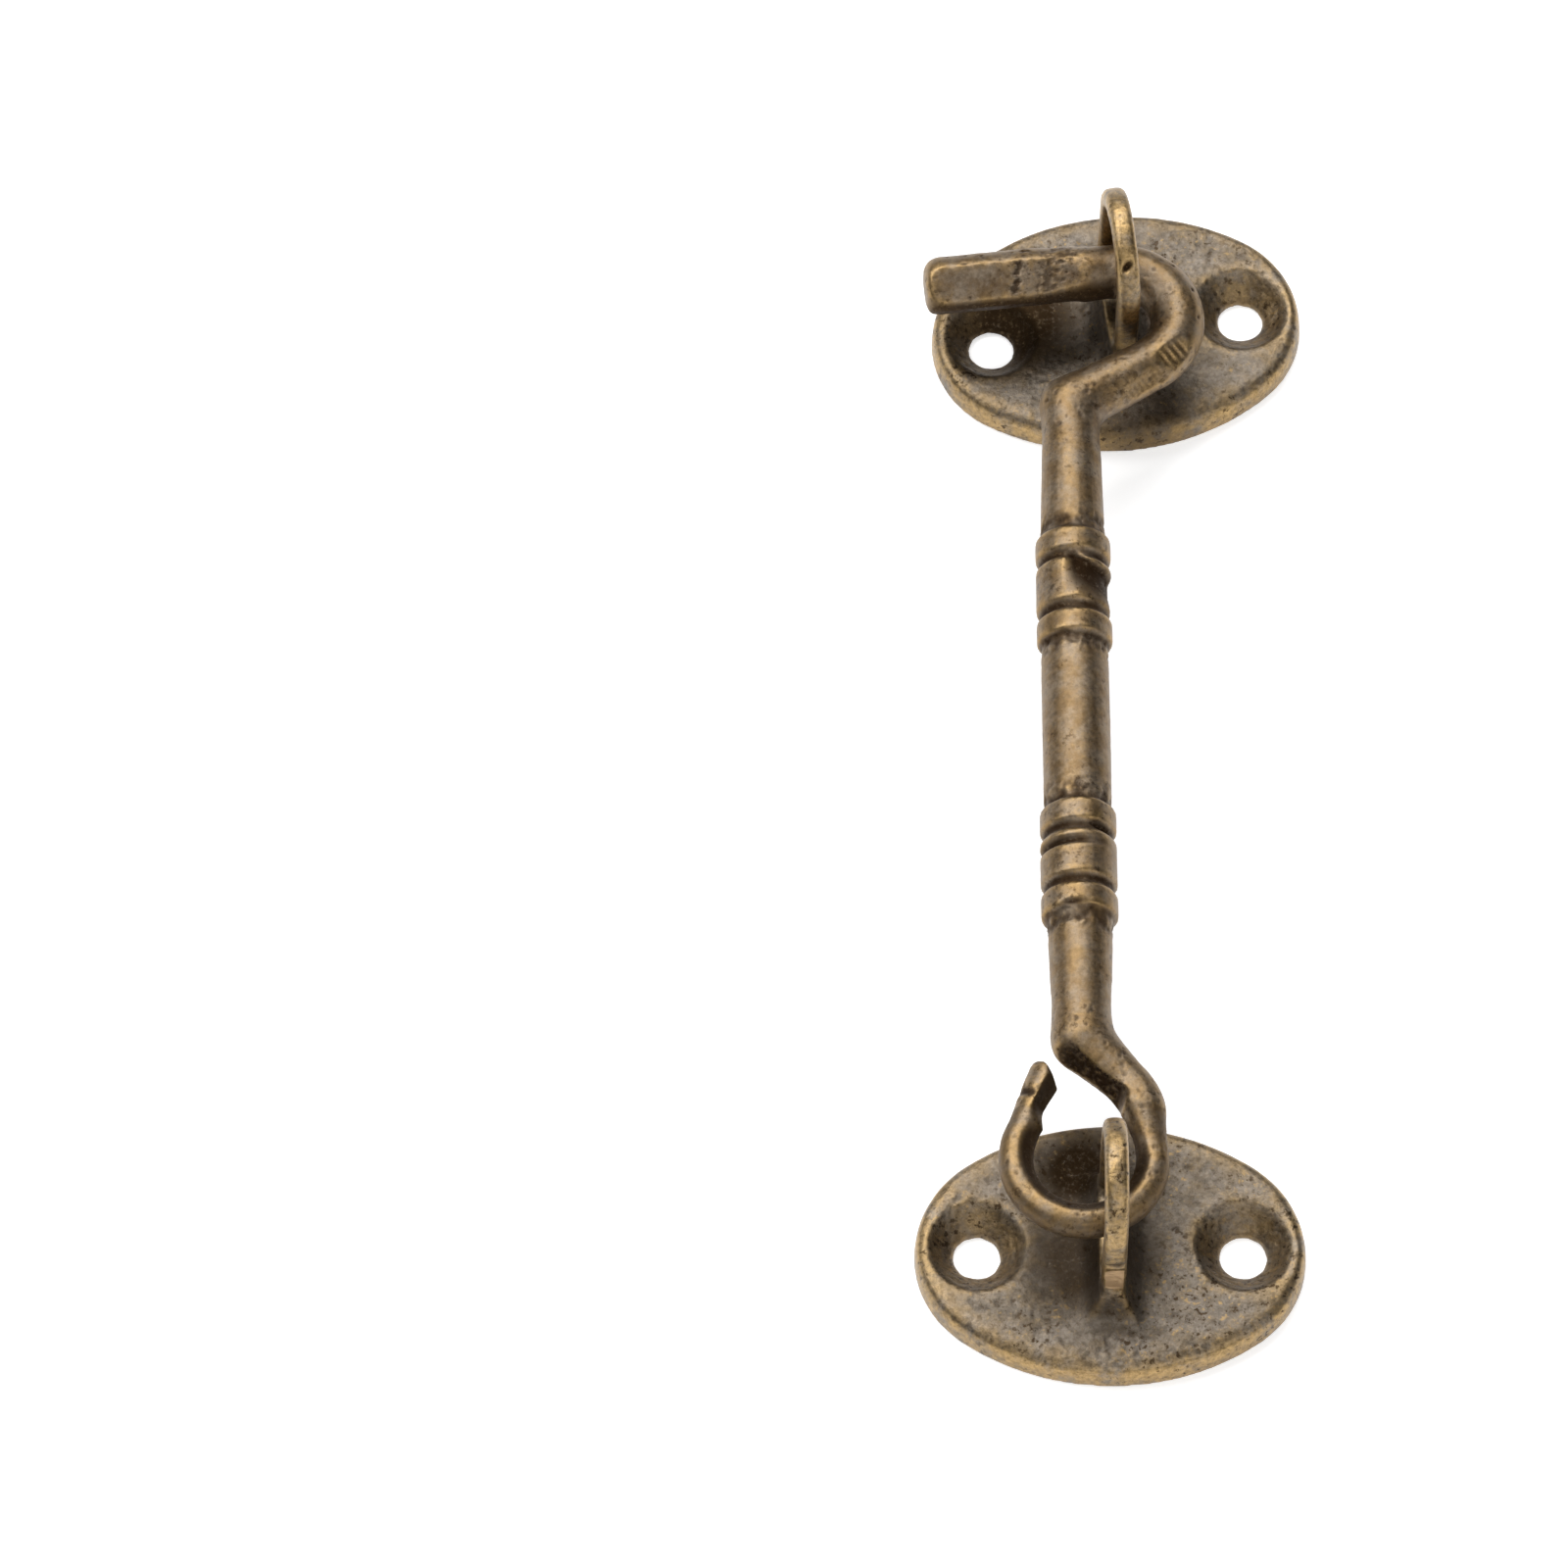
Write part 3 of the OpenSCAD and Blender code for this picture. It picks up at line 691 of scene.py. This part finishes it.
# The hollow colour serves both the tarnish in hollows and the painted shade.
plate_finish = finish(
    "plate_brass", skin=(0.205, 0.176, 0.144), mottle=(0.140, 0.116, 0.089), hollow_and_shade=(0.045, 0.027, 0.013),
    ridge=(0.440, 0.290, 0.118), specks=0.9, dull=0.30, bump=0.9)
hook_finish = finish(
    "hook_brass", skin=(0.217, 0.170, 0.122), mottle=(0.128, 0.083, 0.045), hollow_and_shade=(0.038, 0.021, 0.010),
    ridge=(0.370, 0.245, 0.106), specks=0.6, dull=0.34, bump=0.5)

# %% [markdown]
# ## Putting the castings in place of the solids
# Each casting lies where its solid lies, so nothing has to be moved: it rides on the same body, replaces
# the node and takes the finish of the node's slot.

# %% Castings in place
for piece, node, slot, material in (
        (hinge_casting, "hinge_plate", "plate_brass", plate_finish),
        (hook_casting, "hook", "hook_brass", hook_finish),
        (keeper_casting, "keeper_plate", "plate_brass", plate_finish)):
    piece.data.materials.clear()
    piece.data.materials.append(material)
    piece.data.polygons.foreach_set("use_smooth", np.ones(len(piece.data.polygons), dtype=bool))
    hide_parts(node)
    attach(piece, node)
    print(piece.name, "stands for", node)

# %% [markdown]
# ## Table and light
# The latch lies on a plain white table under soft light from above and behind, with a broad fill from the
# near side and a small one straight above, which draws the edges of the plates. The table is white to the
# camera and in reflections, and keeps the shadow of the latch.

# %% Table
table_size = 4.0
table_glow, table_white = 0.55, 0.8
bm = bmesh.new()
bmesh.ops.create_grid(bm, x_segments=1, y_segments=1, size=table_size)
table_mesh = bpy.data.meshes.new("table")
bm.to_mesh(table_mesh)
bm.free()
table = bpy.data.objects.new("table", table_mesh)
bpy.context.scene.collection.objects.link(table)

paper = bpy.data.materials.new("white_table")
paper.use_nodes = True
tree = paper.node_tree
tree.nodes.clear()
rays = add(tree, "ShaderNodeLightPath").outputs
seen = maths(tree, "ADD", rays["Is Camera Ray"], rays["Is Glossy Ray"])
seen = maths(tree, "ADD", seen, rays["Is Transmission Ray"])
strength = maths(tree, "MULTIPLY", seen, table_glow)
glow = add(tree, "ShaderNodeEmission", {"Color": (1, 1, 1, 1), "Strength": strength})
matt = add(tree, "ShaderNodeBsdfDiffuse", {"Color": (table_white, table_white, table_white, 1)})
both = add(tree, "ShaderNodeAddShader", {0: glow.outputs[0], 1: matt.outputs[0]})
add(tree, "ShaderNodeOutputMaterial", {"Surface": both.outputs[0]})
table_mesh.materials.append(paper)
print("table", 2 * table_size, "m wide")


# %% Light
latch_middle = Vector((0, 0.052, 0))
sky_strength = 0.1


def soft_box(name, place, width, depth, power):
    """A lamp of the given width and depth in metres that faces the middle of the latch."""
    lamp = bpy.data.lights.new(name, "AREA")
    lamp.shape = "RECTANGLE"
    lamp.size = width
    lamp.size_y = depth
    lamp.energy = power
    box = bpy.data.objects.new(name, lamp)
    box.location = place
    facing = latch_middle - box.location
    box.rotation_euler = facing.to_track_quat("-Z", "Y").to_euler()
    bpy.context.scene.collection.objects.link(box)
    print(name, power, "W")


soft_box("back_light", (-0.35, 0.6, 1.05), width=1.9, depth=0.75, power=21)
soft_box("near_light", (0.25, -0.75, 0.65), width=1.4, depth=0.5, power=5)
soft_box("top_light", (0.0, -0.2, 1.15), width=0.9, depth=0.3, power=1.2)
world = bpy.data.worlds.new("studio")
bpy.context.scene.world = world
world.use_nodes = True
sky = world.node_tree.nodes["Background"]
sky.inputs["Color"].default_value = (1, 1, 1, 1)
sky.inputs["Strength"].default_value = sky_strength

# %% [markdown]
# ## View
# Wear takes metal away, so the dressed latch must lie inside the box of its solids. The picture is shown
# through the standard view transform.

# %% View transform
bpy.context.scene.view_settings.view_transform = "Standard"
